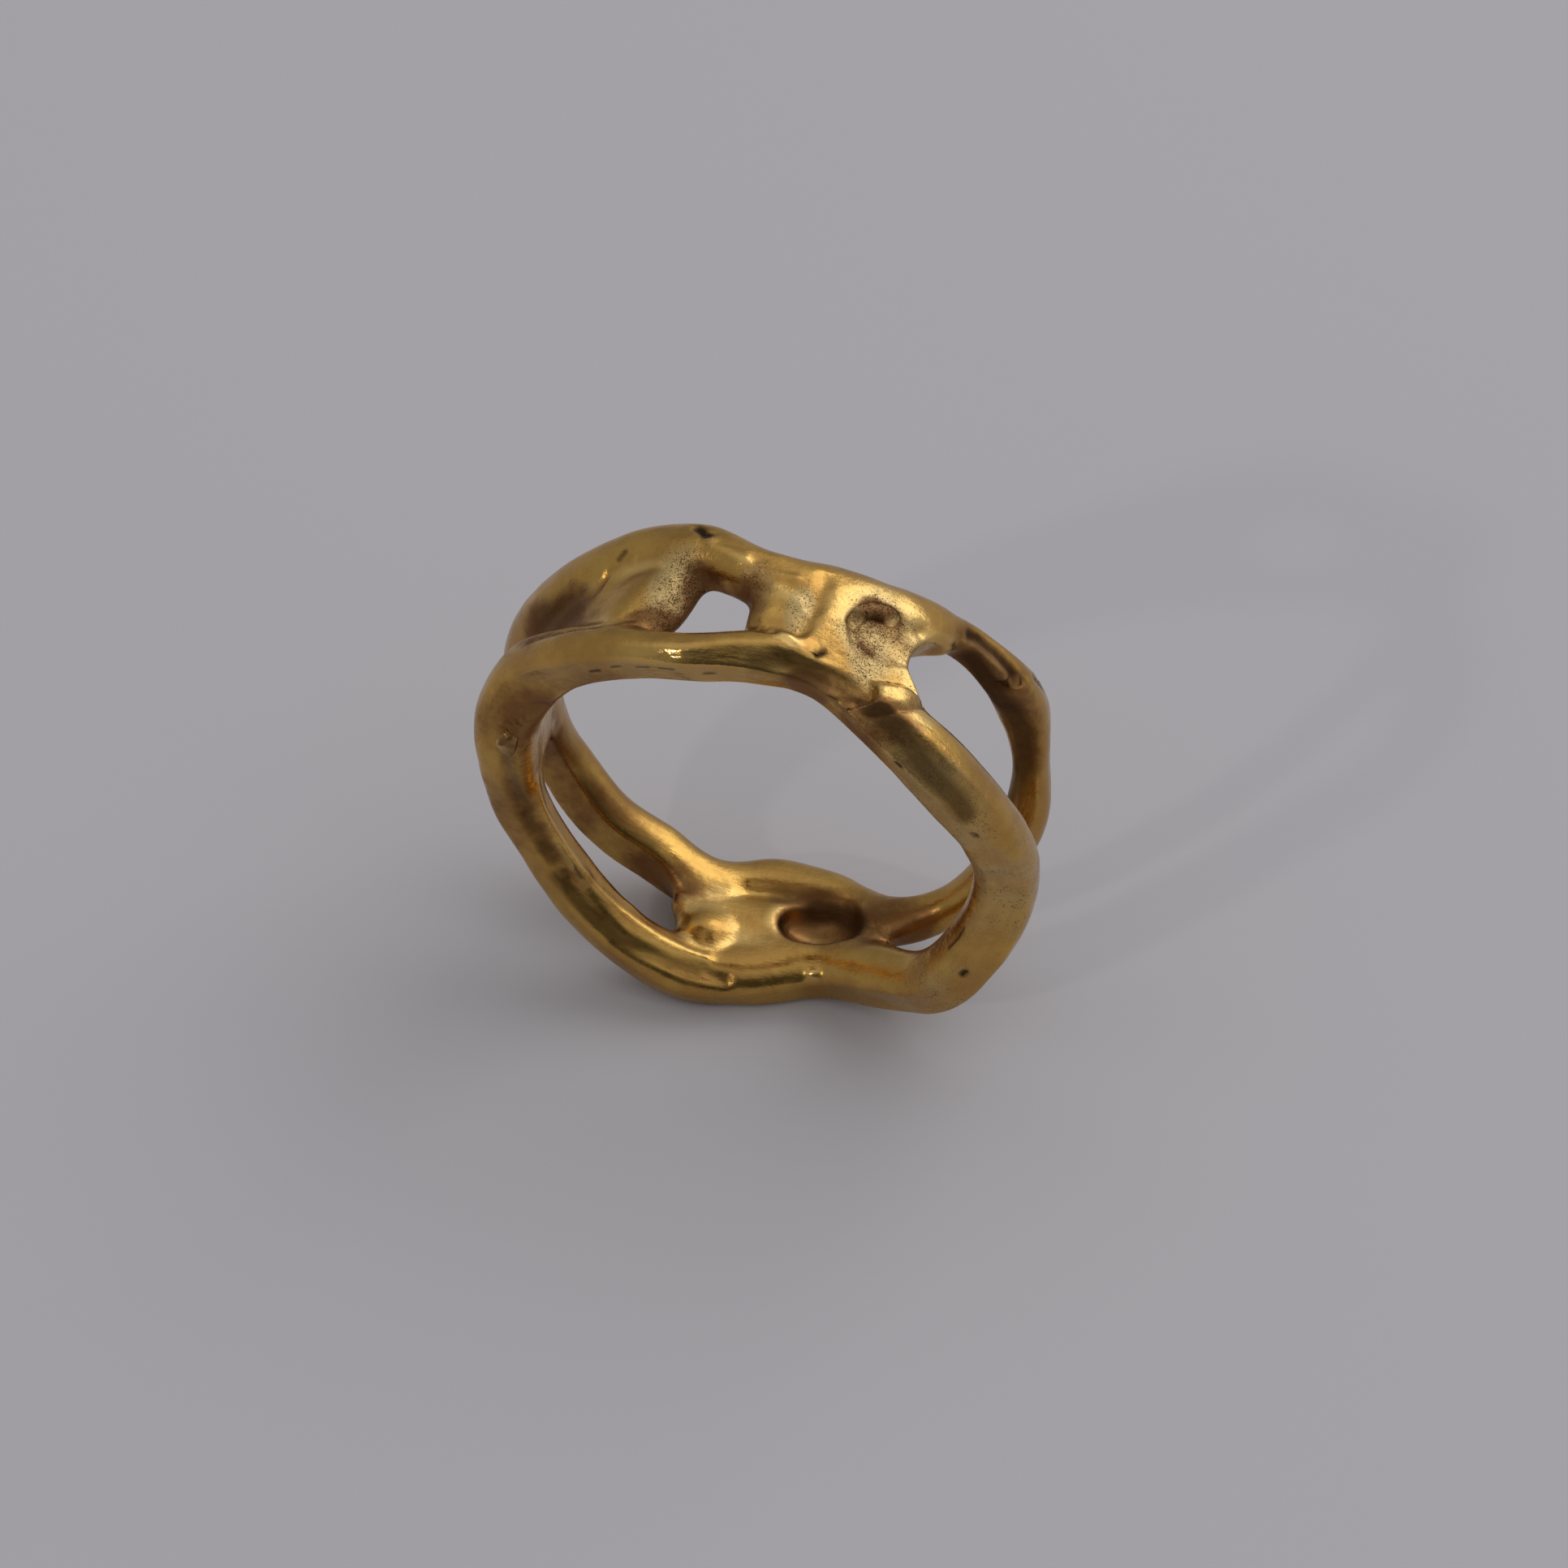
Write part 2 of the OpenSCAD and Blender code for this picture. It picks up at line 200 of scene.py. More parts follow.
# Near-black marks with almost no depth, part stain and part painted shade and painted dark reflection:
# strength, half width, points.
STAINS_AND_PAINTED_SHADE = [
    # the slit, pits and specks: dirt in them, with the shade inside them painted on
    (1.0, 0.20, [(106.2, 3.1, 10.8), (105.2, 2.95, 10.8), (104.2, 2.75, 10.85), (103, 2.68, 10.85)]),
    (1.0, 0.15, [(76, -1.8, 10.8), (75.4, -1.7, 10.8)]),
    (1.0, 0.10, [(52.4, -4.45, 9.8), (51.6, -4.5, 9.8)]),
    (1.0, 0.11, [(26.6, -4.4, 10.0), (25.6, -4.4, 10.0)]),
    (1.0, 0.15, [(328.6, -3.4, 10.2), (327.8, -3.4, 10.2)]),
    (0.9, 0.07, [(331, -3.0, 9.1), (336, -3.0, 9.1), (340, -2.9, 9.1)]),
    (0.9, 0.10, [(127.5, -2.5, 9.8), (126, -2.5, 9.8)]),
    (0.8, 0.07, [(121, -2.75, 9.9), (119, -2.8, 9.9)]),
    (0.8, 0.07, [(115, -2.9, 9.8), (112, -2.9, 9.8)]),
    (0.8, 0.07, [(109, -3.0, 9.8), (106, -3.0, 9.8)]),
    (0.8, 0.08, [(99, -3.0, 9.5), (97, -3.0, 9.5)]),
    # grooves and creases: painted shade along them
    (0.9, 0.10, [(31, 2.3, 10.0), (29, 2.6, 10.4), (27.6, 2.9, 10.6)]),
    (0.8, 0.08, [(24, 3.7, 10.8), (20, 3.9, 10.8), (18, 4.1, 10.7)]),
    (0.8, 0.18, [(70, 0.7, 10.5), (68, 1.05, 10.4), (64.5, 1.15, 10.5)]),
    (0.85, 0.20, [(45, 2.75, 10.35), (42, 2.95, 10.4), (37, 3.0, 10.42), (32, 2.95, 10.42),
                  (28.4, 2.85, 10.5)]),
    (0.8, 0.16, [(147, 0.4, 10.0), (143, 0.2, 9.9)]),
    (0.7, 0.12, [(123, 2.45, 10.6), (121.5, 2.6, 10.7)]),
    (0.8, 0.06, [(142, -0.5, 11.1), (133, -0.8, 11.0), (123, -1.0, 10.8)]),
    # broad painted shade in the recess, the foot and along the rails, and painted dark reflections on the
    # rails
    (0.38, 0.75, [(155, 1.4, 10.6), (149, 1.9, 10.4), (142, 1.8, 10.3), (135, 1.3, 10.2)]),
    (0.75, 0.60, [(282, 1.4, 9.3), (289, 1.2, 9.5), (294, 0.7, 9.4)]),
    (0.45, 0.45, [(272, 1.9, 9.0), (277, 1.8, 9.0), (283, 2.0, 9.1)]),
    (0.45, 0.30, [(166, -1.9, 9.9), (174, -1.8, 9.7), (184, -1.6, 9.4), (198, -1.5, 9.3),
                  (210, -1.6, 9.2)]),
    (0.45, 0.30, [(214, -1.9, 9.2), (226, -2.3, 9.3), (240, -2.6, 9.3), (256, -2.6, 9.3)]),
    (0.35, 0.35, [(196, 3.0, 8.9), (210, 3.0, 8.8), (224, 2.6, 8.8), (236, 2.1, 8.8)]),
    (0.4, 0.45, [(298, 0.9, 9.2), (304, 1.2, 9.3)]),
    (0.6, 0.42, [(88, -2.5, 10.1), (82, -2.5, 10.1), (76, -2.5, 10.2), (70, -2.5, 10.3),
                 (65, -2.8, 10.3)]),
    (0.7, 0.50, [(40, 2.3, 9.9), (34, 2.4, 9.8), (22, 2.8, 9.6), (12, 3.0, 9.8), (2, 2.9, 9.8),
                 (-8, 2.9, 9.8), (-18, 2.8, 9.8)]),
    (0.65, 0.42, [(62, -3.3, 10.6), (56, -3.7, 10.6), (47, -4.3, 10.4), (38, -4.45, 10.4),
                  (33, -4.45, 10.3)]),
]
# A dark mark's strength falls along a straight line from this, at its middle, by this much each half
# width.
DARK_MARK_MIDDLE, DARK_MARK_FALL = 1.6, 1.1


def curve_rows(table, angle):
    """A smooth closed curve through the rows of a table, at angles in degrees."""
    n = len(table)
    x = (angle % 360.0) * n / 360.0
    i = np.floor(x).astype(int)
    t = (x - i)[..., None]
    a, b, c, d = (table[(i + k) % n] for k in (-1, 0, 1, 2))
    return 0.5 * (2 * b + (c - a) * t + (2 * a - 5 * b + 4 * c - d) * t**2
                  + (3 * b - a - 3 * c + d) * t**3)


def soft_min(a, b, k):
    """The lesser of two fields, rounded where they differ by less than k."""
    h = np.maximum(k - np.abs(a - b), 0) / k
    return np.minimum(a, b) - h * h * k / 4


def soft_max(a, b, k):
    """The greater of two fields, rounded the same way."""
    return -soft_min(-a, -b, k)


def turned(angle, middle):
    """How far an angle lies past a middle one, from -180 to 180 degrees."""
    return (angle - middle + 540) % 360 - 180


def rail(table, angle, rho, along, flats):
    """Signed distance, about, to a rail; below zero is metal."""
    row = curve_rows(table, angle)
    half_w, half_t = row[..., 2] / 2, row[..., 3] / 2
    u = along - row[..., 0]
    v = rho - (HOLE_R + row[..., 1] + half_t)
    q = (np.abs(u / half_w) ** SQUARENESS + np.abs(v / half_t) ** SQUARENESS) ** (1 / SQUARENESS)
    d = (q - 1) * np.minimum(half_w, half_t)
    m = SQUARENESS / (SQUARENESS - 1)    # the power that gives a superellipse's reach in a direction
    for flat in flats:
        f = curve_rows(flat, angle)
        turn = np.radians(f[..., 0])
        c, s = np.cos(turn), np.sin(turn)
        reach = ((half_w * np.abs(c)) ** m + (half_t * np.abs(s)) ** m) ** (1 / m)
        d = soft_max(d, -(u * c + v * s) - (reach - f[..., 1]), FILED_EDGE)
    return d


def egg(shape, angle, rho, along):
    """Signed distance, about, to an egg-shaped web or hollow."""
    ang, mid, lift, length, width, thick, turn = shape
    rad = HOLE_R + lift + thick / 2
    s = np.radians(turned(angle, ang)) * rad
    u = along - mid
    c, sn = math.cos(math.radians(turn)), math.sin(math.radians(turn))
    q = np.sqrt(((s * c + u * sn) / (length / 2)) ** 2 + ((u * c - s * sn) / (width / 2)) ** 2
                + ((rho - rad) / (thick / 2)) ** 2)
    return (q - 1) * min(length, width, thick) / 2


def body_field(angle, rho, along, flats=False):
    """The casting without its marks. The arrays broadcast together."""
    d = soft_min(
        rail(FRONT_RAIL, angle, rho, along, (FRONT_FLAT, OUTER_FLAT) if flats else ()),
        rail(REAR_RAIL, angle, rho, along, (REAR_FLAT,) if flats else ()), BLEND)
    for web in WEBS:
        d = soft_min(d, egg(web, angle, rho, along), BLEND)
    for pit in HOLLOWS:
        d = soft_max(d, -egg(pit, angle, rho, along), HOLLOW_BLEND)
    return soft_max(d, -rho * np.sin(np.radians(angle)) - FOOT_Z, FOOT_BLEND)


def to_xyz(angle, rho, along):
    """Points in mm from angles, radii and places along the finger."""
    a = np.radians(angle)
    return np.stack([rho * np.cos(a), along + 0 * a, rho * np.sin(a)], -1)


def line_xyz(line):
    """The points of a mark's line, whose rows are angle, along the finger, radius."""
    angle, along, rho = np.array(line, float).T
    return to_xyz(angle, rho, along)


def ring_coords(p):
    """Angle, radius and place along the finger of points in mm."""
    return np.degrees(np.arctan2(p[:, 2], p[:, 0])) % 360, np.hypot(p[:, 0], p[:, 2]), p[:, 1]


HASH_PRIMES = (73856093, 19349663, 83492791)
NOISE_TABLE = 4096


def smooth_noise(p, size, seed):
    """Smooth value noise from -1 to 1 on points in mm, with features of the given size."""
    rng = np.random.default_rng(seed)
    table = rng.uniform(-1, 1, NOISE_TABLE)
    q = p / size + rng.uniform(0, 100, 3)
    i = np.floor(q).astype(np.int64)
    t = q - i
    t = t * t * (3 - 2 * t)
    out = 0
    for dx in (0, 1):
        for dy in (0, 1):
            for dz in (0, 1):
                key = (((i[:, 0] + dx) * HASH_PRIMES[0]) ^ ((i[:, 1] + dy) * HASH_PRIMES[1])
                       ^ ((i[:, 2] + dz) * HASH_PRIMES[2]))
                w = ((t[:, 0] if dx else 1 - t[:, 0]) * (t[:, 1] if dy else 1 - t[:, 1])
                     * (t[:, 2] if dz else 1 - t[:, 2]))
                out = out + w * table[key % NOISE_TABLE]
    return out


def line_distance(p, points):
    """Distance in mm from each point to a line of straight pieces."""
    best = np.full(len(p), 1e9)
    for a, b in zip(points[:-1], points[1:]):
        ab = b - a
        t = np.clip((p - a) @ ab / (ab @ ab), 0, 1)
        best = np.minimum(best, np.linalg.norm(p - a - t[:, None] * ab, axis=1))
    return best


def marks(p):
    """How far the surface stands proud of the plain casting at points in mm."""
    out = np.zeros(len(p))
    for height, half, points in LINES:
        line = line_xyz(points)
        low, high = line.min(0) - MARK_REACH * half, line.max(0) + MARK_REACH * half
        near = np.nonzero(((p > low) & (p < high)).all(1))[0]
        if len(near):
            out[near] += height * np.exp(-(line_distance(p[near], line) / half) ** 2)
    for height, ang, mid, rad, length, width in SPOTS:
        middle = to_xyz(ang, rad, mid)
        near = np.nonzero((np.abs(p - middle) < MARK_REACH * max(length, width)).all(1))[0]
        if len(near):
            angle, rho, along = ring_coords(p[near])
            s = np.radians(turned(angle, ang)) * rad
            r2 = ((s / length) ** 2 + ((along - mid) / width) ** 2
                  + ((rho - rad) / max(length, width)) ** 2)
            out[near] += height * np.exp(-r2)
    return out


def cut_flats(d, p):
    """Flats filed on the casting: each cuts what stands above its plane, near its middle."""
    for ang, mid, rad, turn, tilt, reach in FLATS:
        middle = to_xyz(ang, rad, mid)
        t, b = math.radians(turn), math.radians(tilt)
        up = np.array([math.cos(t) * math.cos(b), math.sin(b), math.sin(t) * math.cos(b)])
        near = np.nonzero((np.abs(p - middle) < reach + FLAT_MARGIN).all(1))[0]
        if len(near):
            q = p[near] - middle
            lift_off = FLAT_FADE * (reach - np.linalg.norm(q, axis=1))
            cut = soft_min(q @ up, lift_off, FLAT_ROUND)
            d[near] = soft_max(d[near], cut, FILED_EDGE)
    return d


def full_field(p):
    """The finished casting, at points in mm."""
    angle, rho, along = ring_coords(p)
    d = cut_flats(body_field(angle, rho, along, flats=True), p) - marks(p)
    for height, size, seed in WOBBLE:
        d = d - height * smooth_noise(p, size, seed)
    return soft_max(d, -p[:, 2] - FOOT_Z, WORN_FOOT_EDGE)


SLOPE_STEP = 0.02
FLATTEST = 0.3        # a slope below this counts as this, so that no step runs away
LONGEST_STEP = 0.1    # for the mesh's vertices
LINE_STEP = 0.2       # for the lines of stains, which start further off


def value_and_gradient(p):
    """The field and its slope, from one-sided steps."""
    d = full_field(p)
    g = np.empty_like(p)
    for k in range(3):
        q = p.copy()
        q[:, k] += SLOPE_STEP
        g[:, k] = (full_field(q) - d) / SLOPE_STEP
    return d, g


def step_to_surface(p, d, g, most):
    """One Newton step towards the surface, from the field and its slope."""
    return p - np.clip(d / np.maximum((g * g).sum(1), FLATTEST ** 2), -most, most)[:, None] * g


def on_surface(p):
    """Points near the casting, moved onto its surface."""
    for _ in range(3):
        p = step_to_surface(p, *value_and_gradient(p), LINE_STEP)
    return p


# ------------------------------------------------ the surface as a fine mesh of quads
GRID = 0.116                                    # size of the cells
RHO_0, RHO_1 = HOLE_R - 0.7, HOLE_R + 3.4       # the space that the cells fill
ALONG_0, ALONG_1 = -5.3, 5.3
MID_RHO = HOLE_R + 1.3                          # where the cells are as long as they are high
RELAX_STEP = 0.6                                # share of the way to the middle of the neighbours
ROUNDS = 4


def surface_nets():
    """One point in each cell that the surface of the plain body crosses, joined by quads."""
    n_t = int(round(2 * math.pi * MID_RHO / GRID))
    angle = np.arange(n_t) * 360 / n_t
    rho = np.arange(RHO_0, RHO_1, GRID)
    along = np.arange(ALONG_0, ALONG_1, GRID)
    f = body_field(angle[:, None, None], rho[None, :, None], along[None, None, :]).astype(np.float32)
    f = np.concatenate([f, f[:1]], 0)
    corner = {(a, b, c): f[a:n_t + a, b:len(rho) - 1 + b, c:len(along) - 1 + c]
              for a in (0, 1) for b in (0, 1) for c in (0, 1)}
    inside = sum((v < 0).astype(np.int8) for v in corner.values())
    cells = (inside > 0) & (inside < 8)
    total = np.zeros((np.count_nonzero(cells), 3), np.float32)
    count = np.zeros(len(total), np.float32)
    for a, va in corner.items():
        for axis in range(3):
            if a[axis]:
                continue
            b = tuple(v + (k == axis) for k, v in enumerate(a))
            x, y = va[cells], corner[b][cells]
            hit = (x < 0) != (y < 0)
            t = np.where(hit, x / np.where(hit, x - y, 1), 0)
            for k in range(3):
                total[:, k] += np.where(hit, a[k] + (t if k == axis else 0), 0)
            count += hit
    local = total / count[:, None]
    i, j, k = np.nonzero(cells)
    number = np.full(cells.shape, -1, np.int64)
    number[cells] = np.arange(len(i))
    points = to_xyz((i + local[:, 0]) * 360 / n_t, RHO_0 + (j + local[:, 1]) * GRID,
                    ALONG_0 + (k + local[:, 2]) * GRID)
    quads = []
    sign = f[:n_t] < 0
    for axis, (b, c) in enumerate(((1, 2), (2, 0), (0, 1))):
        nxt = f[1:] < 0 if axis == 0 else np.roll(sign, -1, axis)
        here = (sign != nxt)[:, 1:-1, 1:-1]
        base = np.argwhere(here) + (0, 1, 1)
        step_b, step_c = np.eye(3, dtype=int)[b], np.eye(3, dtype=int)[c]
        ring = [base, base - step_b, base - step_b - step_c, base - step_c]
        ids = np.stack([number[r[:, 0] % n_t, r[:, 1], r[:, 2]] for r in ring], 1)
        flip = ~sign[base[:, 0], base[:, 1], base[:, 2]]
        ids[flip] = ids[flip][:, ::-1]
        quads.append(ids)
    return points, np.concatenate(quads)


def relaxed(points, quads):
    """Settles the vertices on the marked surface and evens out the quads."""
    edges = np.concatenate([quads[:, [k, (k + 1) % 4]] for k in range(4)])
    n = len(points)
    for _ in range(2):
        d, g = value_and_gradient(points)
        points = step_to_surface(points, d, g, LONGEST_STEP)
    for _ in range(ROUNDS):
        near = np.zeros((n, 3))
        deg = np.zeros(n)
        for a, b in ((0, 1), (1, 0)):
            for k in range(3):
                near[:, k] += np.bincount(edges[:, a], points[edges[:, b], k], n)
            deg += np.bincount(edges[:, a], minlength=n)
        normal = g / np.linalg.norm(g, axis=1, keepdims=True)
        pull = near / deg[:, None] - points
        pull -= (pull * normal).sum(1, keepdims=True) * normal
        points = points + RELAX_STEP * pull
        d, g = value_and_gradient(points)
        points = step_to_surface(points, d, g, LONGEST_STEP)
    return points, g


def outward(points, quads):
    """Turns the quads so that they face out of the metal."""
    a, b, c, d = (points[quads[:, k]] for k in range(4))
    volume = (np.cross(a, b) * c).sum() + (np.cross(a, c) * d).sum()
    return quads if volume > 0 else quads[:, ::-1]


points, quads = surface_nets()
quads = outward(points, quads)
points, slope = relaxed(points, quads)
normals = slope / np.linalg.norm(slope, axis=1, keepdims=True)
angle, rho, along = ring_coords(points)

# ------------------------------------------------ values at the vertices, for the metal's nodes
# hollow: how much metal stands in front of a point, at three reaches, each with its weight.
HOLLOW_REACHES = [(0.25, 0.35), (0.6, 0.4), (1.3, 0.25)]
# proud: how thin the metal is behind a point, as along an edge.
PROUD_REACH = 0.45

hollow = np.zeros(len(points))
for reach, weight in HOLLOW_REACHES:
    hollow += weight * np.clip(1 - full_field(points + normals * reach) / reach, 0, 1)
proud = np.clip(1 + full_field(points - normals * PROUD_REACH) / PROUD_REACH, 0, 1)
# Near-black stains at each vertex, with painted shade in pits, grooves, creases and recesses and painted
# dark reflections on the rails.
stain_and_shade = np.zeros(len(points))
for strength, half, line in STAINS_AND_PAINTED_SHADE:
    away = line_distance(points, on_surface(line_xyz(line))) / half
    stain_and_shade = np.maximum(stain_and_shade, strength * np.clip(DARK_MARK_MIDDLE - DARK_MARK_FALL * away, 0, 1))


def patch(ang, mid, half_angle, half_width):
    """1 inside a patch of the ring, fading to 0 at its edge."""
    s = turned(angle, ang) / half_angle
    return np.exp(-(s ** 2 + ((along - mid) / half_width) ** 2) ** 2)


# Where the rough casting skin is left, where the metal has gone brown, and where wear has polished it and
# a highlight is painted:
# strength, angle, along the finger, half angle, half width.
SKIN = [
    (1.0, 108, 0.4, 8, 2.6), (0.8, 92, 0.2, 6, 1.8), (1.0, 64, -0.2, 13, 2.3), (0.4, 85, 0.2, 6, 1.2),
    (0.5, 136, 1.2, 14, 1.8), (0.7, 42, -4.5, 34, 1.0), (0.65, 0, -3.4, 30, 1.1),
    (0.5, 120, -1.2, 20, 0.5), (0.9, 82, -0.2, 4, 1.2), (0.6, 322, -3.2, 14, 1.2),
    (0.4, 168, -2.0, 16, 1.2), (0.3, 5, 3.4, 24, 1.6), (0.4, 292, 0.2, 10, 1.6),
]
BROWN = [
    (1.0, 104, 0.6, 4, 1.5), (0.8, 112, -0.9, 6, 0.8), (1.0, 140, 0.8, 14, 1.6), (0.7, 92, 0.4, 5, 1.2),
    (1.0, 284, 0.8, 14, 1.7), (0.55, 268, 0.2, 10, 1.4), (1.0, 24, 2.4, 28, 0.85),
    (0.8, 302, 0.6, 12, 1.6), (0.7, 158, -1.8, 12, 0.8), (0.6, 215, -1.4, 44, 0.5),
    (0.7, 205, 2.6, 30, 0.8), (0.6, 245, 1.4, 18, 0.8), (0.9, 68, 1.0, 4, 0.4), (0.4, 68, -0.9, 3, 0.5),
    (1.0, 76, -3.0, 6, 0.7), (1.0, 60, -3.6, 12, 0.6), (1.0, 150, 1.6, 9, 1.4),
]
BURNISH_AND_HIGHLIGHT = [
    (1.0, 108, -2.9, 15, 0.5), (0.9, 18, 4.2, 20, 0.7), (0.6, 88, -2.6, 8, 0.4), (0.5, 47, -2.2, 12, 0.5),
]
RAGGED = 0.25         # how much the edges of these patches wander
RAGGED_SIZE, RAGGED_SEED = 1.1, 9
PATCH_END = 0.05      # where a patch is weaker than this, it has no ragged edge
BRUSH_RADIUS = 1.6    # the brushing's pattern is laid round a ring this small, which draws it out


def zones(table):
    """The strongest of a table's patches at each vertex, with ragged edges."""
    out = np.zeros(len(points))
    for strength, ang, mid, half_angle, half_width in table:
        out = np.maximum(out, strength * patch(ang, mid, half_angle, half_width))
    wander = RAGGED * smooth_noise(points, RAGGED_SIZE, RAGGED_SEED)
    return np.clip(out + wander * (out > PATCH_END), 0, 1)


vertex_values = {
    "hollow": hollow, "proud": proud, "stain_and_shade": stain_and_shade, "radius": rho,
    "skin": zones(SKIN), "brown": zones(BROWN), "burnish_and_highlight": zones(BURNISH_AND_HIGHLIGHT),
}
around = np.radians(angle)
brush_lay = np.stack([BRUSH_RADIUS * np.cos(around), BRUSH_RADIUS * np.sin(around), along], -1)


def make_mesh(name):
    """The casting's object, with its vertex values."""
    mesh = bpy.data.meshes.new(name)
    mesh.from_pydata((points * MM).tolist(), [], quads.tolist())
    mesh.validate()
    mesh.polygons.foreach_set("use_smooth", np.ones(len(mesh.polygons), bool))
    for key, values in vertex_values.items():
        layer = mesh.attributes.new(key, "FLOAT", "POINT")
        layer.data.foreach_set("value", values.astype(np.float32))
    lay = mesh.attributes.new("lay", "FLOAT_VECTOR", "POINT")
    lay.data.foreach_set("vector", brush_lay.astype(np.float32).ravel())
    mesh.update()
    obj = bpy.data.objects.new(name, mesh)
    bpy.context.scene.collection.objects.link(obj)
    return obj


# ------------------------------------------------ materials
GOLD = (0.62, 0.375, 0.095, 1)
GOLD_BROWN = (0.47, 0.26, 0.070, 1)      # in clouds and brush strokes
GOLD_PALE_AND_HIGHLIGHT = (0.76, 0.50, 0.17, 1)        # worn edges and polished places, and a painted highlight on the burnished patches
GOLD_DRY = (0.56, 0.42, 0.20, 1)         # casting skin
TARNISH = (0.22, 0.095, 0.035, 1)
PORE = (0.10, 0.045, 0.022, 1)
# Near black, for stains and for painted shade and dark reflections.
STAIN_AND_SHADE_DARK = (0.045, 0.022, 0.012, 1)

# Noise scales, per metre; the brushing's is per mm of its own small ring.
CLOUD_SCALE, PATCHY_SCALE, RIPPLE_SCALE, GRAIN_SCALE = 420, 1500, 4200, 16000
BRUSH_SCALE = 3.2
PORE_LEVEL = 0.66                        # grain above this is a pore
PORE_EDGE = 0.05
BUMP_STRENGTH, BUMP_DISTANCE = 0.6, 0.00003


class Nodes:
    """Short forms for building a node tree."""

    def __init__(self, material):
        material.use_nodes = True
        self.tree = material.node_tree
        self.tree.nodes.clear()

    def add(self, kind, inputs=None, **settings):
        """A node with its settings, and its inputs linked to sockets or set to values."""
        node = self.tree.nodes.new(kind)
        for key, value in settings.items():
            setattr(node, key, value)
        for key, value in (inputs or {}).items():
            if isinstance(value, bpy.types.NodeSocket):
                self.tree.links.new(value, node.inputs[key])
            else:
                node.inputs[key].default_value = value
        return node

    def noise(self, vector, scale, detail, rough, **more):
        inputs = {"Vector": vector, "Scale": scale, "Detail": detail, "Roughness": rough}
        dimensions = "4D" if "W" in more else "3D"
        node = self.add("ShaderNodeTexNoise", noise_dimensions=dimensions, inputs={**inputs, **more})
        return node.outputs["Fac"]

    def vertex(self, name, output="Fac"):
        return self.add("ShaderNodeAttribute", attribute_name=name).outputs[output]

    def math(self, operation, a, b, clamp=False):
        node = self.add("ShaderNodeMath", operation=operation, use_clamp=clamp, inputs={0: a, 1: b})
        return node.outputs[0]

    def times(self, a, b):
        return self.math("MULTIPLY", a, b)

    def total(self, terms, clamp=False):
        """The sum of the terms; clamp holds the last sum between 0 and 1."""
        out = terms[0]
        for i, term in enumerate(terms[1:], 2):
            out = self.math("ADD", out, term, clamp and i == len(terms))
        return out

    def ramp(self, value, low, high, to_low=0.0, to_high=1.0):
        inputs = {"Value": value, "From Min": low, "From Max": high, "To Min": to_low, "To Max": to_high}
        node = self.add("ShaderNodeMapRange", clamp=True, interpolation_type="SMOOTHSTEP", inputs=inputs)
        return node.outputs["Result"]

    def mix(self, factor, a, b):
        """The colour sockets of a Mix node are its inputs 6 and 7, and its output 2."""
        return self.add("ShaderNodeMix", data_type="RGBA", inputs={0: factor, 6: a, 7: b}).outputs[2]


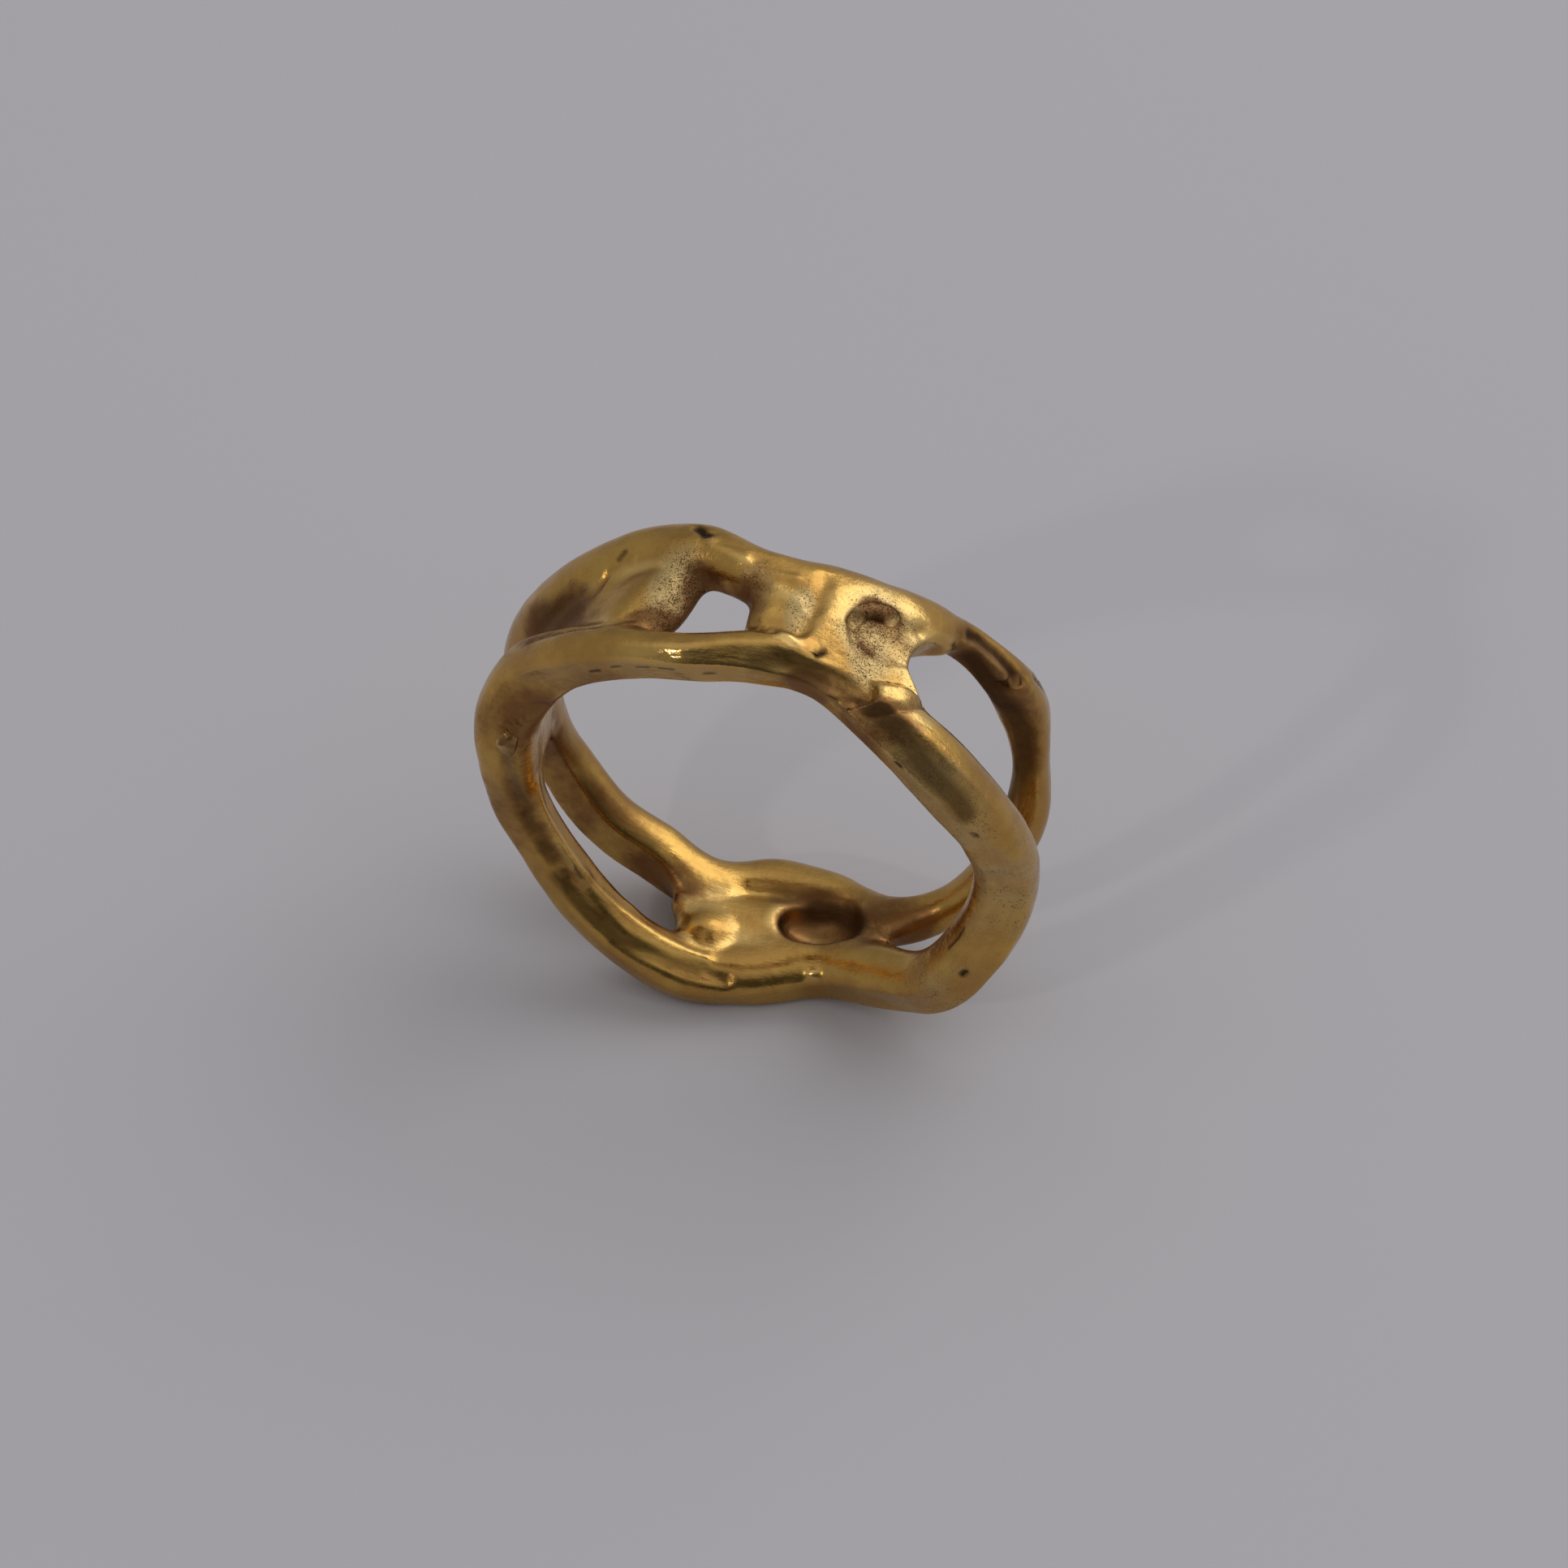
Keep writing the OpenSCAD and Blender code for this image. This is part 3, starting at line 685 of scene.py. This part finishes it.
def brass():
    """Old satin brass: its tone, its roughness and its fine relief, each built up in turn."""
    mat = bpy.data.materials.new("cast_brass")
    n = Nodes(mat)
    coord = n.add("ShaderNodeTexCoord").outputs["Object"]
    at_hollow, at_skin, at_brown, at_proud, at_burnish_and_highlight, at_stain_and_shade = (
        n.vertex(key) for key in ("hollow", "skin", "brown", "proud", "burnish_and_highlight", "stain_and_shade"))
    cloud = n.noise(coord, CLOUD_SCALE, 4, 0.6)
    patchy = n.noise(coord, PATCHY_SCALE, 5, 0.65)
    ripple = n.noise(coord, RIPPLE_SCALE, 3, 0.55)
    grain = n.noise(coord, GRAIN_SCALE, 3, 0.6)
    brushed = n.noise(n.vertex("lay", "Vector"), BRUSH_SCALE, 4.0, 0.6, W=n.vertex("radius"))
    # tarnish sits in the hollows and the brown places, with ragged edges
    ragged = n.times(n.math("SUBTRACT", patchy, 0.5), 0.8)
    tarnish = n.ramp(n.total([at_hollow, n.times(at_brown, 0.72), ragged]), 0.24, 0.85)
    # dark pores where a speckle of grain passes a level, which is lower on the casting skin
    level = n.total([PORE_LEVEL, n.times(tarnish, -0.02), n.times(at_skin, -0.13)])
    speckle = n.total([n.times(grain, 0.75), n.times(patchy, 0.25)])
    pores = n.ramp(n.math("SUBTRACT", speckle, level), 0.0, PORE_EDGE)
    # tone: clouds and brushing, then wear and a painted highlight, skin, tarnish, pores, and stains with
    # painted shade over them
    tone = n.mix(n.ramp(cloud, 0.35, 0.68), GOLD_BROWN, GOLD)
    tone = n.mix(n.ramp(brushed, 0.45, 0.75, 0.0, 0.5), tone, GOLD_BROWN)
    tone = n.mix(n.ramp(at_proud, 0.15, 0.5), tone, GOLD_PALE_AND_HIGHLIGHT)
    # A paler tone on the burnished patches, a painted highlight over the polish.
    tone = n.mix(n.times(at_burnish_and_highlight, 0.5), tone, GOLD_PALE_AND_HIGHLIGHT)
    tone = n.mix(n.ramp(at_skin, 0.45, 1.0, 0.0, 0.75), tone, GOLD_DRY)
    tone = n.mix(n.times(tarnish, 0.85), tone, TARNISH)
    tone = n.mix(n.times(pores, 0.7), tone, PORE)
    # Near-black stains, painted shade and painted dark reflections over the tone.
    tone = n.mix(at_stain_and_shade, tone, STAIN_AND_SHADE_DARK)
    # roughness: satin, rougher on skin, tarnish, stains, painted shade and pores, smoother where worn
    rough = n.total([
        n.ramp(patchy, 0.3, 0.7, 0.20, 0.30), n.times(tarnish, 0.16), n.ramp(at_skin, 0.3, 1.0, 0.0, 0.20),
        n.ramp(brushed, 0.3, 0.7, -0.05, 0.05), n.times(at_burnish_and_highlight, -0.16), n.times(at_proud, -0.08),
        n.times(at_stain_and_shade, 0.3), n.times(pores, 0.20),
    ], clamp=True)
    # relief finer than the mesh: two sizes of ripple, deeper on the skin, then brushing and pores
    height = n.total([
        n.times(ripple, n.total([n.times(at_skin, 1.5), 0.45])),
        n.times(patchy, n.total([n.times(at_skin, 2.0), 0.9])),
        n.times(brushed, 1.2), n.times(pores, -0.5),
    ])
    bump = n.add("ShaderNodeBump", inputs={
        "Strength": BUMP_STRENGTH, "Distance": BUMP_DISTANCE, "Height": height})
    shader = n.add("ShaderNodeBsdfPrincipled", inputs={
        "Base Color": tone, "Metallic": 1.0, "Roughness": rough, "Normal": bump.outputs["Normal"]})
    n.add("ShaderNodeOutputMaterial", inputs={"Surface": shader.outputs[0]})
    return mat


def plain(name, colour, roughness):
    """A matt material of one colour, for the floor."""
    mat = bpy.data.materials.new(name)
    n = Nodes(mat)
    shader = n.add("ShaderNodeBsdfPrincipled", inputs={"Base Color": (*colour, 1), "Roughness": roughness})
    n.add("ShaderNodeOutputMaterial", inputs={"Surface": shader.outputs[0]})
    return mat


ring = make_mesh("cast_ring_skin")
ring.data.materials.append(brass())
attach(ring, "root")
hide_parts("cast_ring")

# ------------------------------------------------ floor, light, camera
FLOOR_HALF = 1.2
FLOOR_COLOUR = (0.54, 0.522, 0.555)
FLOOR_ROUGHNESS = 0.8

floor_z = cad_box[0][2]
corners = [(x * FLOOR_HALF, y * FLOOR_HALF, floor_z) for x, y in ((-1, -1), (1, -1), (1, 1), (-1, 1))]
mesh = bpy.data.meshes.new("floor")
mesh.from_pydata(corners, [], [(0, 1, 2, 3)])
floor = bpy.data.objects.new("floor", mesh)
bpy.context.scene.collection.objects.link(floor)
floor.data.materials.append(plain("pale_table", FLOOR_COLOUR, FLOOR_ROUGHNESS))

LIGHT_DISTANCE = 0.6


def direction(azimuth, elevation):
    """Azimuth 0 is the front of the ring, 90 its right; elevation is above the floor."""
    a, e = math.radians(azimuth), math.radians(elevation)
    return Vector((math.sin(a) * math.cos(e), -math.cos(a) * math.cos(e), math.sin(e)))


def soft_box(name, azimuth, elevation, width, height, radiance, colour):
    """A rectangular light that faces the ring. Its power is pi times its radiance times its area."""
    towards = direction(azimuth, elevation)
    data = bpy.data.lights.new(name, "AREA")
    data.shape = "RECTANGLE"
    data.size, data.size_y = width, height
    data.energy = radiance * math.pi * width * height
    data.color = colour
    light = bpy.data.objects.new(name, data)
    light.location = towards * LIGHT_DISTANCE
    light.rotation_euler = towards.to_track_quat("Z", "Y").to_euler()
    bpy.context.scene.collection.objects.link(light)


# A large dim light behind on the right, and a small bright one in front on the left.
soft_box("window", 140, 40, 0.48, 0.44, 1.2, (1.0, 0.99, 0.97))
soft_box("lamp", -37, 32, 0.036, 0.022, 100.0, (1.0, 0.97, 0.92))

# A room that is light behind on the right and overhead, dimmer on the left and dark in front.
world = bpy.data.worlds.new("room")
bpy.context.scene.world = world
room = Nodes(world)
towards = room.add("ShaderNodeTexCoord").outputs["Generated"]


def facing(azimuth, elevation):
    """How squarely a ray into the room heads that way: 1 is straight."""
    return room.add("ShaderNodeVectorMath", operation="DOT_PRODUCT",
                    inputs={0: towards, 1: direction(azimuth, elevation)}).outputs["Value"]


right_wall = room.ramp(facing(125, 20), 0.0, 0.85, 0.06, 0.56)
ceiling = room.ramp(facing(0, 90), 0.5, 1.0, 0.0, 0.42)
left_wall = room.ramp(facing(270, 10), 0.1, 0.9, 0.0, 0.30)
glow = room.total([right_wall, ceiling, left_wall])
sky = room.add("ShaderNodeBackground", inputs={"Color": (0.98, 0.99, 1.0, 1), "Strength": glow})
room.add("ShaderNodeOutputWorld", inputs={"Surface": sky.outputs[0]})

# The camera, in degrees and mm: from far away, so that the picture is almost without perspective.
AZIMUTH, ELEVATION, DISTANCE = 11.5, 50.0, 200.0
VIEW_WIDTH = 60.375                   # what the square picture takes in at the ring
LOOK_RIGHT, LOOK_UP = 0.87, 0.03      # middle of the picture, from the middle of the finger hole
SENSOR = 36
back = direction(AZIMUTH, ELEVATION)
right = direction(AZIMUTH + 90, 0)
up = back.cross(right)
camera_data = bpy.data.cameras.new("camera")
camera_data.sensor_width = SENSOR
camera_data.lens = SENSOR * DISTANCE / VIEW_WIDTH
camera_data.clip_start, camera_data.clip_end = 0.01, 10
camera = bpy.data.objects.new("camera", camera_data)
centre = right * LOOK_RIGHT + up * LOOK_UP
camera.location = (centre + back * DISTANCE) * MM
camera.rotation_euler = Matrix((right, up, back)).transposed().to_euler()
bpy.context.scene.collection.objects.link(camera)
bpy.context.scene.camera = camera

view = bpy.context.scene.view_settings
view.view_transform = "Standard"
view.look = "None"
view.exposure = 0.0
